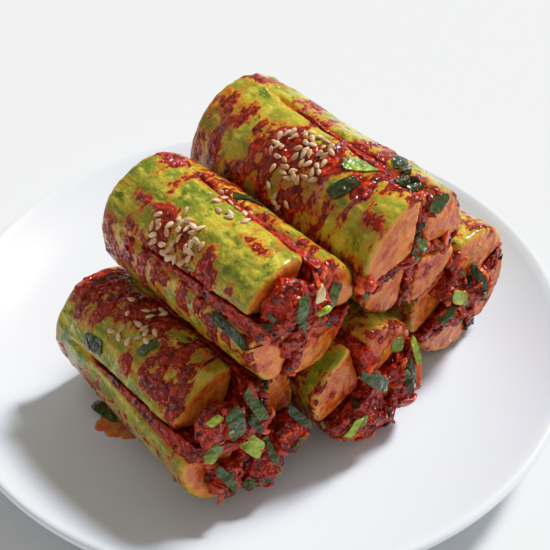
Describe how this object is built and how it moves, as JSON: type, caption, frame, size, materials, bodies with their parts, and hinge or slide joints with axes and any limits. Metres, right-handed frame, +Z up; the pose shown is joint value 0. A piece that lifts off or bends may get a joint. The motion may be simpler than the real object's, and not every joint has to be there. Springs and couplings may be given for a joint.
{
  "type": "stuffed cucumber kimchi on a plate",
  "caption": "Stuffed cucumber kimchi: cross-cut cucumber sections filled with red chilli paste and chives, stacked on a round white coupe plate, with sesame seeds.",
  "frame": {"origin": "middle of the plate's foot, on the table", "axes": "+Z up; the cucumbers lie along Y with their cut ends towards -Y"},
  "size_m": [0.191, 0.191, 0.083],
  "materials": {
    "glaze": "smooth glossy white glaze",
    "cucumber": "wet salted cucumber, smeared with chilli paste",
    "stuffing": "wet grainy red chilli paste with chives and shredded root",
    "chive": "wet cut leaf"
  },
  "bodies": {
    "root": {"plate": "glaze", "cucumber_lower_left": "cucumber", "cucumber_lower_middle": "cucumber", "cucumber_lower_right": "cucumber", "cucumber_upper_left": "cucumber", "cucumber_upper_right": "cucumber", "stuffing_lower_left": "stuffing", "stuffing_lower_middle": "stuffing", "stuffing_lower_right": "stuffing", "stuffing_upper_left": "stuffing", "stuffing_upper_right": "stuffing", "chive_scrap": "chive"}
  },
  "joints": []
}
